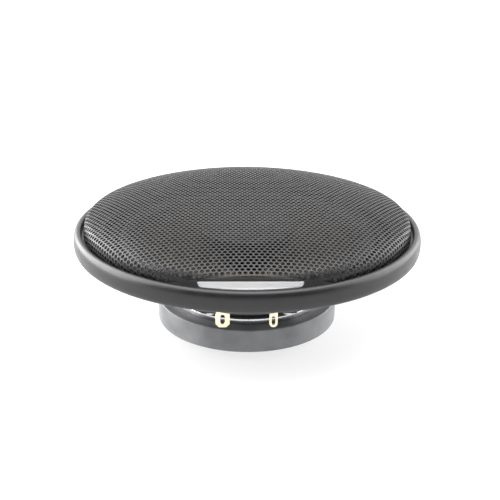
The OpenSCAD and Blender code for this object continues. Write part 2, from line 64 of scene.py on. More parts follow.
# ---------- sizes read from the CAD frame, in millimetres ----------

def low(node):
    return [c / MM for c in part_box(node)[0]]


def high(node):
    return [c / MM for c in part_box(node)[1]]


def radius(node):
    return high(node)[0]


# ---------- camera ----------

CAMERA_AZIMUTH = -1.5
CAMERA_ELEVATION = 21.7
CAMERA_DISTANCE = 362.0
CAMERA_ROLL = 0.5
CAMERA_AIM = (1.0, 0.0, 27.9)
CAMERA_LENS = 71.6
SENSOR_WIDTH = 36.0


def make_camera():
    azimuth = math.radians(CAMERA_AZIMUTH)
    elevation = math.radians(CAMERA_ELEVATION)
    look = Vector((
        -math.sin(azimuth) * math.cos(elevation),
        math.cos(azimuth) * math.cos(elevation),
        -math.sin(elevation),
    ))
    data = bpy.data.cameras.new("camera")
    data.lens = CAMERA_LENS
    data.sensor_width = SENSOR_WIDTH
    data.clip_start = 0.01
    data.clip_end = 20.0
    camera = bpy.data.objects.new("camera", data)
    camera.location = (Vector(CAMERA_AIM) - look * CAMERA_DISTANCE) * MM
    roll = Quaternion((0, 0, 1), math.radians(CAMERA_ROLL))
    camera.rotation_euler = (look.to_track_quat("-Z", "Y") @ roll).to_euler()
    bpy.context.scene.collection.objects.link(camera)
    bpy.context.scene.camera = camera


make_camera()
bpy.context.scene.view_settings.view_transform = "Standard"


# ---------- mesh helpers ----------

def link_mesh(name, mesh):
    obj = bpy.data.objects.new(name, mesh)
    bpy.context.scene.collection.objects.link(obj)
    return obj


def mesh_object(name, points, faces, merge=MERGE_M):
    """points in millimetres; doubles are merged, and normals point outward."""
    mesh = bpy.data.meshes.new(name)
    mesh.from_pydata([[c * MM for c in p] for p in points], [], faces)
    work = bmesh.new()
    work.from_mesh(mesh)
    bmesh.ops.remove_doubles(work, verts=work.verts, dist=merge)
    bmesh.ops.recalc_face_normals(work, faces=work.faces)
    for face in work.faces:
        face.smooth = True
    work.to_mesh(mesh)
    work.free()
    return link_mesh(name, mesh)


def soften(obj, width=0.12, segments=2, angle=32):
    """Rounded edges that catch the light, with the flats kept flat."""
    bevel = obj.modifiers.new("soft_edges", "BEVEL")
    bevel.width = width * MM
    bevel.segments = segments
    bevel.limit_method = "ANGLE"
    bevel.angle_limit = math.radians(angle)
    bevel.harden_normals = True
    return obj


def arc(cx, cz, r, start, end, steps=8):
    """Points on an arc from start to end degrees, both ends included."""
    return [
        (cx + r * math.cos(math.radians(start + (end - start) * i / steps)),
         cz + r * math.sin(math.radians(start + (end - start) * i / steps)))
        for i in range(steps + 1)
    ]


def lathe(name, outline, segments=192, at=(0.0, 0.0), edge=0.12):
    """Turns a closed (radius, height) outline about the vertical through at."""
    points, faces = [], []
    count = len(outline)
    for j in range(segments):
        turn = 2 * math.pi * j / segments
        for r, z in outline:
            points.append((at[0] + r * math.cos(turn), at[1] + r * math.sin(turn), z))
    for j in range(segments):
        here, there = j * count, (j + 1) % segments * count
        for i in range(count):
            k = (i + 1) % count
            if outline[i][0] > 0 or outline[k][0] > 0:
                faces.append((here + i, there + i, there + k, here + k))
    obj = mesh_object(name, points, faces)
    if edge:
        soften(obj, edge)
    return obj


def shell(name, line, thickness, segments=192):
    """Turns an open (radius, height) line and gives it thickness downward."""
    inner = [(r, z - thickness) for r, z in reversed(line)]
    return lathe(name, list(line) + inner, segments, edge=0)


def plate(name, outline, holes, thickness, place, edge=0.1):
    """Flat part cut from sheet: outline and holes are (x, y) loops, place maps (x, y, t)."""
    curve = bpy.data.curves.new(name, "CURVE")
    curve.dimensions = "2D"
    curve.fill_mode = "BOTH"
    curve.extrude = thickness / 2 - edge
    curve.bevel_depth = edge
    curve.offset = -edge
    curve.bevel_resolution = 2
    for loop in [outline] + holes:
        spline = curve.splines.new("POLY")
        spline.points.add(len(loop) - 1)
        for point, (x, y) in zip(spline.points, loop):
            point.co = (x, y, 0, 1)
        spline.use_cyclic_u = True
    holder = bpy.data.objects.new(name + "_curve", curve)
    bpy.context.scene.collection.objects.link(holder)
    graph = bpy.context.evaluated_depsgraph_get()
    mesh = bpy.data.meshes.new_from_object(holder.evaluated_get(graph))
    bpy.data.objects.remove(holder)
    bpy.data.curves.remove(curve)
    mesh.name = name
    for vertex in mesh.vertices:
        vertex.co = Vector(place(*vertex.co)) * MM
    work = bmesh.new()
    work.from_mesh(mesh)
    bmesh.ops.remove_doubles(work, verts=work.verts, dist=MERGE_M)
    bmesh.ops.recalc_face_normals(work, faces=work.faces)
    work.to_mesh(mesh)
    work.free()
    return link_mesh(name, mesh)


def circle(cx, cy, r, steps=24, start=0.0, end=360.0):
    """Loop of points; a full turn leaves out the repeated last point."""
    full = abs(end - start) >= 360
    count = steps if full else steps + 1
    return [
        (cx + r * math.cos(math.radians(start + (end - start) * i / steps)),
         cy + r * math.sin(math.radians(start + (end - start) * i / steps)))
        for i in range(count)
    ]


def join(name, parts):
    """Puts several made pieces into one mesh."""
    work = bmesh.new()
    graph = bpy.context.evaluated_depsgraph_get()
    for part in parts:
        mesh = bpy.data.meshes.new_from_object(part.evaluated_get(graph))
        work.from_mesh(mesh)
        bpy.data.meshes.remove(mesh)
        bpy.data.objects.remove(part)
    mesh = bpy.data.meshes.new(name)
    work.to_mesh(mesh)
    work.free()
    return link_mesh(name, mesh)


def tube_along(name, route, r, sides=12, twist=0.0):
    """Round tube along a smooth route of points in millimetres, with closed ends."""
    points, faces = [], []
    up = Vector((0, 0, 1))
    for i, here in enumerate(route):
        before = Vector(route[max(i - 1, 0)])
        after = Vector(route[min(i + 1, len(route) - 1)])
        along = (after - before).normalized()
        side = along.cross(up).normalized()
        top = side.cross(along)
        for k in range(sides):
            turn = 2 * math.pi * k / sides + twist * i
            points.append(Vector(here) + r * (math.cos(turn) * side + math.sin(turn) * top))
    for i in range(len(route) - 1):
        for k in range(sides):
            n = (k + 1) % sides
            faces.append((i * sides + k, i * sides + n, (i + 1) * sides + n, (i + 1) * sides + k))
    last = (len(route) - 1) * sides
    faces.append(tuple(range(sides)))
    faces.append(tuple(last + k for k in range(sides)))
    return mesh_object(name, points, faces)


def bezier(p, count):
    """Points along the cubic curve through four control points."""
    p = [Vector(q) for q in p]
    out = []
    for i in range(count + 1):
        t = i / count
        out.append((1 - t) ** 3 * p[0] + 3 * (1 - t) ** 2 * t * p[1]
                   + 3 * (1 - t) * t * t * p[2] + t ** 3 * p[3])
    return out


# ---------- material helpers ----------

class Look:
    """One node material: a Principled surface with colour, roughness and bump from noise."""

    def __init__(self, name, base, roughness, metallic=0.0, specular=0.5):
        self.material = bpy.data.materials.new(name)
        self.material.use_nodes = True
        self.tree = self.material.node_tree
        self.surface = self.tree.nodes["Principled BSDF"]
        self.base = base
        self.surface.inputs["Base Color"].default_value = (*base, 1)
        self.surface.inputs["Roughness"].default_value = roughness
        self.surface.inputs["Metallic"].default_value = metallic
        self.surface.inputs["Specular IOR Level"].default_value = specular
        self.roughness = roughness
        self.bump_chain = None
        self.where = self.node("ShaderNodeTexCoord").outputs["Object"]

    def node(self, kind, **settings):
        made = self.tree.nodes.new(kind)
        for key, value in settings.items():
            setattr(made, key, value)
        return made

    def link(self, a, b):
        self.tree.links.new(a, b)

    def math(self, operation, a, b=None):
        made = self.node("ShaderNodeMath", operation=operation)
        for socket, value in zip(made.inputs, (a, b)):
            if value is None:
                continue
            if isinstance(value, (int, float)):
                socket.default_value = value
            else:
                self.link(value, socket)
        return made.outputs[0]

    def stretched(self, x, y, z):
        """Object position scaled differently along each axis."""
        made = self.node("ShaderNodeMapping")
        made.inputs["Scale"].default_value = (x, y, z)
        self.link(self.where, made.inputs["Vector"])
        return made.outputs[0]

    def turned(self, around, outward, along):
        """Lathe coordinates: arc, radius and height, each with its own scale."""
        split = self.node("ShaderNodeSeparateXYZ")
        self.link(self.where, split.inputs[0])
        x, y, z = split.outputs
        r = self.math("SQRT", self.math("ADD", self.math("MULTIPLY", x, x), self.math("MULTIPLY", y, y)))
        angle = self.math("ARCTAN2", y, x)
        joined = self.node("ShaderNodeCombineXYZ")
        self.link(self.math("MULTIPLY", angle, around), joined.inputs[0])
        self.link(self.math("MULTIPLY", r, outward), joined.inputs[1])
        self.link(self.math("MULTIPLY", z, along), joined.inputs[2])
        return joined.outputs[0]

    def noise(self, scale, detail=3.0, rough=0.55, vector=None):
        made = self.node("ShaderNodeTexNoise")
        made.inputs["Scale"].default_value = scale
        made.inputs["Detail"].default_value = detail
        made.inputs["Roughness"].default_value = rough
        self.link(vector or self.where, made.inputs["Vector"])
        return made.outputs["Fac"]

    def vary_colour(self, source, dark, light, start=0.3, end=0.7):
        """Base colour runs from base * dark to base * light as source goes from start to end."""
        ramp = self.node("ShaderNodeValToRGB")
        ramp.color_ramp.elements[0].position = start
        ramp.color_ramp.elements[1].position = end
        for element, amount in zip(ramp.color_ramp.elements, (dark, light)):
            if isinstance(amount, (int, float)):
                amount = [c * amount for c in self.base]
            element.color = (*[min(c, 1.0) for c in amount], 1)
        self.link(source, ramp.inputs[0])
        self.link(ramp.outputs[0], self.surface.inputs["Base Color"])
        return self

    def vary_roughness(self, source, spread):
        made = self.node("ShaderNodeMapRange")
        made.inputs["From Min"].default_value = 0.3
        made.inputs["From Max"].default_value = 0.7
        made.inputs["To Min"].default_value = self.roughness - spread
        made.inputs["To Max"].default_value = self.roughness + spread
        self.link(source, made.inputs["Value"])
        self.link(made.outputs[0], self.surface.inputs["Roughness"])
        return self

    def bump(self, source, depth, strength=1.0):
        """depth in millimetres; several bumps add up."""
        made = self.node("ShaderNodeBump")
        made.inputs["Distance"].default_value = depth * MM
        made.inputs["Strength"].default_value = strength
        self.link(source, made.inputs["Height"])
        if self.bump_chain:
            self.link(self.bump_chain, made.inputs["Normal"])
        self.bump_chain = made.outputs[0]
        self.link(made.outputs[0], self.surface.inputs["Normal"])
        return self


def grey(value):
    return (value, value, value)


def moulded(name, base, roughness, grain=0.02, specular=0.5):
    """Moulded plastic: fine spark-eroded grain, faint flow marks."""
    look = Look(name, base, roughness, specular=specular)
    fine = look.noise(2600, 2)
    wide = look.noise(55, 4)
    look.vary_colour(wide, 0.88, 1.12)
    look.vary_roughness(look.noise(240, 4), 0.05)
    look.bump(fine, grain, 0.5)
    look.bump(wide, 0.03, 0.35)
    return look.material


def turned_metal(name, base, roughness, metallic=1.0, marks=0.004):
    """Machined or pressed metal: rings of tool marks and a faint cloudiness of the plating."""
    look = Look(name, base, roughness, metallic)
    rings = look.noise(1, 3, vector=look.turned(1.5, 5200, 5200))
    cloud = look.noise(120, 5)
    look.vary_colour(cloud, 0.86, 1.08)
    look.vary_roughness(look.noise(420, 4), 0.06)
    look.bump(rings, marks, 0.8)
    look.bump(cloud, 0.01, 0.3)
    return look.material


def painted(name, base, roughness):
    """Sprayed black on pressed steel: orange peel and thin dust."""
    look = Look(name, base, roughness)
    look.vary_colour(look.noise(90, 5), 0.8, 1.35)
    look.vary_roughness(look.noise(320, 3), 0.07)
    look.bump(look.noise(950, 2), 0.015, 0.6)
    return look.material


def soft_foam(name, base):
    look = Look(name, base, 0.95, specular=0.25)
    cells = look.node("ShaderNodeTexVoronoi")
    cells.inputs["Scale"].default_value = 2400
    look.link(look.where, cells.inputs["Vector"])
    look.vary_colour(look.noise(500, 4), 0.7, 1.3)
    look.bump(cells.outputs["Distance"], 0.12, 0.8)
    return look.material


# ---------- materials ----------

def make_ring_plastic():
    return moulded("ring_plastic", (0.013, 0.013, 0.0145), 0.36, 0.012, specular=0.45)


def make_ferrite():
    """Ground ferrite: cloudy grey with fine pits and faint grinding marks."""
    look = Look("ferrite", (0.21, 0.213, 0.22), 0.42, specular=0.5)
    look.vary_colour(look.noise(110, 5), 0.76, 1.24)
    pits = look.noise(1500, 3)
    look.vary_roughness(look.noise(260, 4), 0.07)
    look.bump(pits, 0.01, 0.6)
    look.bump(look.noise(1, 3, vector=look.turned(40, 3000, 3000)), 0.003, 0.5)
    return look.material


def make_mesh_steel():
    look = Look("mesh_steel", grey(0.017), 0.34, specular=0.3)
    look.vary_colour(look.noise(260, 4), 0.75, 1.35)
    look.vary_roughness(look.noise(700, 3), 0.08)
    look.bump(look.noise(2200, 2), 0.01, 0.5)
    return look.material


def make_badge():
    """Satin aluminium with a fine brush along its length."""
    look = Look("badge_metal", (0.68, 0.68, 0.69), 0.42, 0.2)
    brush = look.noise(1, 3, vector=look.stretched(60, 5200, 5200))
    look.vary_colour(brush, 0.93, 1.04)
    look.vary_roughness(look.noise(150, 4), 0.05)
    look.bump(brush, 0.002, 0.5)
    return look.material


def make_gold():
    look = Look("gold_plate", (0.95, 0.86, 0.62), 0.32, 1.0)
    look.vary_colour(look.noise(160, 4), 0.86, 1.06)
    look.vary_roughness(look.noise(500, 4), 0.08)
    look.bump(look.noise(1, 3, vector=look.stretched(2600, 2600, 300)), 0.004, 0.5)
    return look.material


def make_paper():
    """Pressed pulp cone: mottled fibres."""
    look = Look("cone_paper", (0.04, 0.031, 0.025), 0.85, specular=0.2)
    fibres = look.noise(420, 6, 0.7)
    look.vary_colour(fibres, 0.65, 1.5)
    look.bump(fibres, 0.12, 0.8)
    look.bump(look.noise(60, 3), 0.1, 0.5)
    return look.material


def make_rubber():
    look = Look("surround_rubber", grey(0.022), 0.55, specular=0.45)
    look.vary_colour(look.noise(140, 4), 0.75, 1.4)
    look.vary_roughness(look.noise(60, 4), 0.08)
    look.bump(look.noise(1700, 2), 0.012, 0.6)
    return look.material


def make_spider_cloth():
    """Phenolic-dipped cotton: a woven grid under a shiny resin."""
    look = Look("spider_cloth", (0.5, 0.3, 0.1), 0.6, specular=0.4)
    weave = []
    for axis in ("X", "Y"):
        wave = look.node("ShaderNodeTexWave", wave_type="BANDS", bands_direction=axis)
        wave.inputs["Scale"].default_value = 600
        look.link(look.where, wave.inputs["Vector"])
        weave.append(wave.outputs["Fac"])
    both = look.math("MULTIPLY", *weave)
    look.vary_colour(both, 0.7, 1.25, 0.0, 0.8)
    look.bump(both, 0.1, 0.8)
    return look.material


def make_copper():
    look = Look("copper_braid", (0.78, 0.4, 0.22), 0.35, 1.0)
    look.vary_colour(look.noise(900, 3), 0.7, 1.1)
    look.bump(look.noise(2400, 2), 0.03, 0.7)
    return look.material


def make_winding():
    """Close turns of enamelled wire."""
    look = Look("coil_winding", (0.6, 0.24, 0.1), 0.3, 0.8)
    wave = look.node("ShaderNodeTexWave", wave_type="BANDS", bands_direction="Z")
    wave.inputs["Scale"].default_value = 1600
    look.link(look.where, wave.inputs["Vector"])
    look.vary_colour(wave.outputs["Fac"], 0.6, 1.15, 0.1, 0.8)
    look.bump(wave.outputs["Fac"], 0.08, 0.9)
    return look.material


def make_film(name, base, roughness):
    look = Look(name, base, roughness)
    look.vary_colour(look.noise(200, 4), 0.85, 1.15)
    look.bump(look.noise(900, 3), 0.01, 0.5)
    return look.material


def make_silk():
    """Coated silk dome: a fine weave under a soft shine."""
    look = Look("dome_silk", (0.03, 0.031, 0.034), 0.42, specular=0.35)
    weave = []
    for axis in ("X", "Y"):
        wave = look.node("ShaderNodeTexWave", wave_type="BANDS", bands_direction=axis)
        wave.inputs["Scale"].default_value = 900
        look.link(look.where, wave.inputs["Vector"])
        weave.append(wave.outputs["Fac"])
    both = look.math("ADD", *weave)
    look.vary_colour(both, 0.85, 1.1, 0.2, 1.0)
    look.bump(both, 0.03, 0.6)
    return look.material


materials = {
    "ring": make_ring_plastic(),
    "ferrite": make_ferrite(),
    "mesh": make_mesh_steel(),
    "badge": make_badge(),
    "gold": make_gold(),
    "paper": make_paper(),
    "rubber": make_rubber(),
    "cloth": make_spider_cloth(),
    "copper": make_copper(),
    "winding": make_winding(),
    "former": make_film("former_film", (0.45, 0.33, 0.2), 0.35),
    "film": make_film("suspension_film", grey(0.03), 0.4),
    "silk": make_silk(),
    "plated": turned_metal("zinc_plate", (0.68, 0.68, 0.7), 0.22, marks=0.001),
    "steel": turned_metal("bare_steel", (0.55, 0.55, 0.56), 0.34),
    "black_steel": painted("black_steel", grey(0.03), 0.38),
    "plastic": moulded("black_plastic", grey(0.025), 0.42, 0.015),
    "board": moulded("terminal_laminate", (0.02, 0.018, 0.016), 0.5, 0.01),
    "foam": soft_foam("gasket_foam", grey(0.03)),
    "wire": moulded("wire_insulation", (0.03, 0.03, 0.032), 0.4, 0.01),
    "capacitor": moulded("capacitor_sleeve", (0.02, 0.05, 0.16), 0.25, 0.005),
}


def dress(obj, look):
    obj.data.materials.clear()
    obj.data.materials.append(materials[look])


def take_place(obj, *nodes):
    """Hides the CAD nodes behind the made piece."""
    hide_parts(*nodes)


def piece(obj, look, body, *nodes):
    """A made piece: its material, the body it rides on and the CAD nodes it stands for."""
    dress(obj, look)
    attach(obj, body)
    if nodes:
        take_place(obj, *nodes)
    return obj


CAD_LOOKS = {
    "basket_rivets": "steel", "board_rivets": "steel", "terminal_board": "board",
    "voice_coil_former": "former", "voice_coil_winding": "winding", "dust_ring": "foam",
    "lead_eyelets": "gold", "tweeter_post": "plastic", "tweeter_nut": "steel",
    "tweeter_bolt": "steel", "crossover_capacitor": "capacitor", "tweeter_pot": "plated",
    "tweeter_magnet": "plated", "tweeter_pole_piece": "steel", "tweeter_coil": "winding",
    "mesh_retainer": "plastic", "basket": "black_steel",
}
for node_name, look_name in CAD_LOOKS.items():
    dress(nodes_by_name[node_name], look_name)


# ---------- grille: mesh ----------

MESH_TOP = high("grille_mesh")[2]
MESH_FOOT = low("grille_mesh")[2]
DOME_R = 56.0
DOME_FALL = 4.9
DOME_POWER = 4.2
BEND_R = 3.2
LEAN = 6.0
SHEET = 0.3
ARCH_R = 80.0
ARCH_TOP = 42.0
ARCH_Y = -44.0
PITCH = 1.8
HOLE_R = 0.7
HOLE_SIDES = 12
SOLID_RIM = 0.12
FLAT_STEPS = 54
BEND_STEPS = 12
TRIM_HALVINGS = 24


def mesh_profile():
    """Outer line of the mesh as (radius, height), from the axis to the foot, with its length."""
    line = []
    for i in range(FLAT_STEPS + 1):
        r = DOME_R * i / FLAT_STEPS
        line.append((r, MESH_TOP - DOME_FALL * (r / DOME_R) ** DOME_POWER))
    slope = math.degrees(math.atan(DOME_FALL * DOME_POWER / DOME_R))
    cx = DOME_R - BEND_R * math.sin(math.radians(slope))
    cz = line[-1][1] - BEND_R * math.cos(math.radians(slope))
    line += arc(cx, cz, BEND_R, 90 - slope, LEAN, BEND_STEPS)[1:]
    r, z = line[-1]
    line.append((r + (z - MESH_FOOT) * math.tan(math.radians(LEAN)), MESH_FOOT))
    lengths = [0.0]
    for (r0, z0), (r1, z1) in zip(line, line[1:]):
        lengths.append(lengths[-1] + math.hypot(r1 - r0, z1 - z0))
    return line, lengths


PROFILE, PROFILE_S = mesh_profile()


def on_mesh(u, v):
    """A point of the flat sheet carried onto the formed sheet by its distance from the centre."""
    s = math.hypot(u, v)
    if s < 1e-9:
        return (0.0, 0.0, MESH_TOP)
    i = 0
    while i < len(PROFILE_S) - 2 and PROFILE_S[i + 1] < s:
        i += 1
    t = (s - PROFILE_S[i]) / (PROFILE_S[i + 1] - PROFILE_S[i])
    r = PROFILE[i][0] + t * (PROFILE[i + 1][0] - PROFILE[i][0])
    z = PROFILE[i][1] + t * (PROFILE[i + 1][1] - PROFILE[i][1])
    return (r * u / s, r * v / s, z)


def outside(u, v):
    """Above zero where the sheet has been trimmed away."""
    x, y, z = on_mesh(u, v)
    trim = math.hypot(u, v) - PROFILE_S[-1]
    if y < ARCH_Y:
        trim = max(trim, ARCH_R - math.hypot(x, z - (ARCH_TOP - ARCH_R)))
    return trim


def edge_point(a, b):
    """Where the trim line crosses the edge a-b, the same from either side."""
    if a > b:
        a, b = b, a
    if outside(*a) > 0:
        a, b = b, a
    for _ in range(TRIM_HALVINGS):
        middle = ((a[0] + b[0]) / 2, (a[1] + b[1]) / 2)
        if outside(*middle) > 0:
            b = middle
        else:
            a = middle
    return a


def trimmed(corners):
    """The loop with whatever lies past the trim line cut off."""
    kept = []
    for a, b in zip(corners, corners[1:] + corners[:1]):
        if outside(*a) <= 0:
            kept.append(a)
        if (outside(*a) > 0) != (outside(*b) > 0):
            kept.append(edge_point(a, b))
    return kept


def ring_faces(centre, outer, inner):
    """Triangles between two loops that both go round centre."""
    def turn(p):
        return math.atan2(p[1] - centre[1], p[0] - centre[0]) % (2 * math.pi)
    past_full_turn = 9.0
    outer = sorted(outer, key=turn)
    inner = sorted(inner, key=turn)
    faces = []
    i = j = 0
    while i < len(outer) or j < len(inner):
        a, b = outer[i % len(outer)], inner[j % len(inner)]
        next_outer = turn(outer[i]) if i < len(outer) else past_full_turn
        next_inner = turn(inner[j]) if j < len(inner) else past_full_turn
        if next_outer <= next_inner:
            faces.append((outer[i - 1], a, inner[j - 1]))
            i += 1
        else:
            faces.append((outer[i - 1], b, inner[j - 1]))
            j += 1
    return faces


def make_mesh_sheet():
    """Hexagonal cells with a round hole each, laid flat, trimmed and carried onto the dome."""
    rise = PITCH * math.sqrt(3) / 2
    corner_r = PITCH / math.sqrt(3)
    reach = int(PROFILE_S[-1] / rise) + 2
    faces = []
    for row in range(-reach, reach + 1):
        for column in range(-reach - 2, reach + 3):
            u = (column + (row % 2) / 2) * PITCH
            v = row * rise
            if math.hypot(u, v) > PROFILE_S[-1] + PITCH:
                continue
            hexagon = [
                (round(u + corner_r * math.sin(math.radians(60 * k)), 6),
                 round(v + corner_r * math.cos(math.radians(60 * k)), 6))
                for k in range(6)
            ]
            cut = any(outside(*corner) > 0 for corner in hexagon)
            if cut:
                hexagon = trimmed(hexagon)
                if len(hexagon) < 3:
                    continue
            hole = circle(u, v, HOLE_R, HOLE_SIDES)
            if cut and any(outside(*p) > -SOLID_RIM for p in hole):
                faces.append(tuple(hexagon))
            else:
                faces += ring_faces((u, v), hexagon, hole)
    index, points, triangles = {}, [], []
    for face in faces:
        loop = []
        for p in face:
            key = (round(p[0], 4), round(p[1], 4))
            if key not in index:
                index[key] = len(points)
                points.append(on_mesh(*p))
            loop.append(index[key])
        if len(set(loop)) == len(loop):
            triangles.append(tuple(loop))
    sheet = mesh_object("perforated_mesh", points, triangles)
    up = sum(p.normal.z for p in sheet.data.polygons)
    if up < 0:
        sheet.data.flip_normals()
    thick = sheet.modifiers.new("sheet", "SOLIDIFY")
    thick.thickness = SHEET * MM
    thick.offset = -1
    crease = sheet.modifiers.new("hole_edges", "EDGE_SPLIT")
    crease.split_angle = CREASE_ANGLE
    return sheet


piece(make_mesh_sheet(), "mesh", "grille", "grille_mesh")


# ---------- grille: trim ring and badge ----------

RING_R = radius("grille_ring")
RING_TOP = high("grille_ring")[2]
RING_BULGE = 2.1
RING_HALF_H = 3.65
RING_MID = RING_TOP - RING_HALF_H
RING_SQUARE = 2.6
LIP_R = 59.2
LIP_DROP = 0.5
SKIRT_R = radius("basket") + 0.5
SHELF = MESH_FOOT
WEB_LOW = 34.8
WEB_R = 51.5
PLATFORM_Z = SHELF + 0.9
PLATFORM_BACK_Y = 47.9
PLATFORM_HALF_W = 17.0
PLATFORM_SIDE = (26.6, 50.9)
RING_TURNS = 540
RING_LOW = RING_MID - RING_HALF_H + 0.3


def ring_point(degrees):
    c, s = math.cos(math.radians(degrees)), math.sin(math.radians(degrees))
    return (
        RING_R - RING_BULGE + RING_BULGE * abs(c) ** (2 / RING_SQUARE),
        RING_MID + RING_HALF_H * math.copysign(abs(s) ** (2 / RING_SQUARE), s),
    )


def platform_back(turn):
    """Inner radius of the badge platform in the direction turn from -Y, or None beside it."""
    side = math.atan2(*PLATFORM_SIDE)
    if abs(turn) > side:
        return None
    corner = math.atan2(PLATFORM_HALF_W, PLATFORM_BACK_Y)
    if abs(turn) <= corner:
        return PLATFORM_BACK_Y / math.cos(turn)
    (x0, y0), (x1, y1) = (PLATFORM_HALF_W, PLATFORM_BACK_Y), PLATFORM_SIDE
    dx, dy = math.sin(abs(turn)), math.cos(abs(turn))
    ex, ey = x1 - x0, y1 - y0
    return (x0 * ey - y0 * ex) / (dx * ey - dy * ex)


def make_ring():
    """One surface: the rounded ring with its inner shelf, raised into the platform in front."""
    outside_line = [ring_point(-66 + 156 * i / 40) for i in range(41)]
    crest = [(LIP_R + 0.25, RING_TOP - LIP_DROP + 0.35), (LIP_R, RING_TOP - LIP_DROP - 0.1)]
    side = math.atan2(*PLATFORM_SIDE)
    turns = sorted(
        [2 * math.pi * j / RING_TURNS - math.pi for j in range(RING_TURNS)]
        + [s * (side + d) for s in (-1, 1) for d in (-0.0004, 0.0004)]
    )
    points, faces = [], []
    for turn in turns:
        back = platform_back(turn)
        line = [(SKIRT_R, RING_LOW)] + outside_line + crest
        if back is None:
            line += [
                (LIP_R, SHELF + 0.4), (LIP_R, SHELF), (WEB_R + 2, SHELF), (WEB_R, SHELF),
                (WEB_R, SHELF - 0.2), (WEB_R, WEB_LOW + 0.2),
            ]
        else:
            line += [
                (LIP_R - 0.1, PLATFORM_Z + 0.1), (LIP_R - 0.6, PLATFORM_Z),
                (back + 0.5, PLATFORM_Z), (back + 0.15, PLATFORM_Z - 0.15), (back, PLATFORM_Z - 0.5),
                (back, WEB_LOW + 0.2),
            ]
        inner = WEB_R if back is None else back
        line += [
            (inner, WEB_LOW), (inner + 1.5, WEB_LOW), (SKIRT_R - 0.3, WEB_LOW),
            (SKIRT_R, WEB_LOW - 0.3),
        ]
        for r, z in line:
            points.append((r * math.sin(turn), -r * math.cos(turn), z))
    count = len(points) // len(turns)
    for j in range(len(turns)):
        here, there = j * count, (j + 1) % len(turns) * count
        for i in range(count):
            k = (i + 1) % count
            faces.append((here + i, there + i, there + k, here + k))
    ring = mesh_object("trim_ring", points, faces, 1e-8)
    for face in ring.data.polygons:
        face.use_smooth = True
    split = ring.modifiers.new("crease", "EDGE_SPLIT")
    split.split_angle = CREASE_ANGLE
    return ring


PEG_COUNT = 4
PEG_R = 1.4
PEG_FOOT_R = 2.2
PEG_CIRCLE_R = 54
PEG_FIRST_TURN = 22.5


def make_pegs():
    """Four push-in pegs under the ring."""
    foot_z = high("basket")[2] + 0.3
    tip_z = low("grille_ring")[2]
    outline = [
        (0, tip_z), (PEG_R / 2, tip_z), (1.3, tip_z + 0.5), (PEG_R, tip_z + 0.8), (PEG_R, foot_z),
        (PEG_FOOT_R, foot_z), (PEG_FOOT_R, WEB_LOW + 0.4), (0, WEB_LOW + 0.4),
    ]
    parts = []
    for k in range(PEG_COUNT):
        turn = math.radians(PEG_FIRST_TURN + 360 / PEG_COUNT * k)
        place = (PEG_CIRCLE_R * math.cos(turn), PEG_CIRCLE_R * math.sin(turn))
        parts.append(lathe("peg_%d" % k, outline, 32, place, 0.08))
    return join("ring_pegs", parts)


piece(make_ring(), "ring", "grille", "grille_ring")
piece(make_pegs(), "ring", "grille")

BADGE_HALF_W = high("grille_badge")[0]
BADGE_ARC_R = -low("grille_badge")[1]
BADGE_BACK_Y = -high("grille_badge")[1]
BADGE_TOP = high("grille_badge")[2]
BADGE_T = BADGE_TOP - low("grille_badge")[2]
BADGE_CORNER = 2.4
BADGE_BACK_CORNER = 0.7


def make_badge_plate():
    """Blank plate: straight back edge, rounded ends and a front edge that follows the ring."""
    cx = BADGE_HALF_W - BADGE_CORNER - 0.4
    cy = -math.sqrt((BADGE_ARC_R - BADGE_CORNER) ** 2 - cx ** 2)
    turn = math.degrees(math.atan2(cy, cx))
    half = circle(BADGE_HALF_W - BADGE_BACK_CORNER, -BADGE_BACK_Y - BADGE_BACK_CORNER,
                  BADGE_BACK_CORNER, 6, 90, 0)
    half += circle(cx, cy, BADGE_CORNER, 8, 0, turn)
    half += circle(0, 0, BADGE_ARC_R, 12, turn, -90)[1:]
    outline = half + [(-x, y) for x, y in reversed(half[:-1])]
    return plate("badge_plate", outline, [], BADGE_T,
                 lambda x, y, t: (x, y, t + BADGE_TOP - BADGE_T / 2), 0.15)


piece(make_badge_plate(), "badge", "grille", "grille_badge")


# ---------- motor ----------

MAGNET_BORE = 16.0
MAGNET_EDGE = 0.5
GAP_R = 13.8
PLATE_LOW_EDGE = 0.3
PLATE_TOP_EDGE = 0.2
POLE_R = 12.2
POLE_CHAMFER = 0.6
POCKET_R = 4.2
POCKET_H = 2.8
BOLT_R = 2.0
YOKE_EDGE = 1.2


